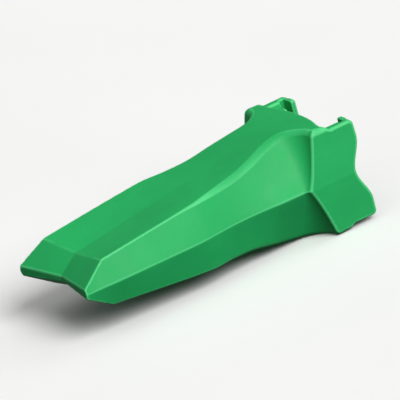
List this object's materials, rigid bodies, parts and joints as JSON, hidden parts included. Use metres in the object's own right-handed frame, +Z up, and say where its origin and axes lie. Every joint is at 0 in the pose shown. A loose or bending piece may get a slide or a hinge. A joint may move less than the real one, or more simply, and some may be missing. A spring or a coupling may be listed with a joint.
{
  "type": "excavator bucket tooth",
  "caption": "Cast steel bucket tooth with a fishtail edge, side ridges, rear ears with keyways, a nose socket and a vertical lock key.",
  "frame": {"origin": "centre of the flat thrust face at the bottom of the nose socket", "axes": "+X to the cutting edge, +Y to the ear that carries the lock key, +Z up out of the key's upper end"},
  "size_m": [0.3, 0.1246, 0.1026],
  "materials": {
    "casting_paint": "satin green paint on cast steel",
    "key_steel": "dark forged and machined steel",
    "latch_steel": "ground steel",
    "spring_rubber": "matt black elastomer"
  },
  "bodies": {
    "casting": {"tooth_point": "casting_paint"},
    "key": {"lock_key": "key_steel", "latch_spring": "spring_rubber", "latch_stop_pin": "latch_steel"},
    "latch": {"lock_latch": "latch_steel"}
  },
  "joints": [
    {"name": "key_slide", "type": "slide", "parent": "casting", "child": "key", "axis": [0, 0, 1], "range_m": [0, 0.08]},
    {"name": "latch_press", "type": "slide", "parent": "key", "child": "latch", "axis": [0, 1, 0], "range_m": [0, 0.003], "stiffness_N_per_m": 20000, "springref_m": -0.0003, "deforming": ["latch_spring"]}
  ]
}
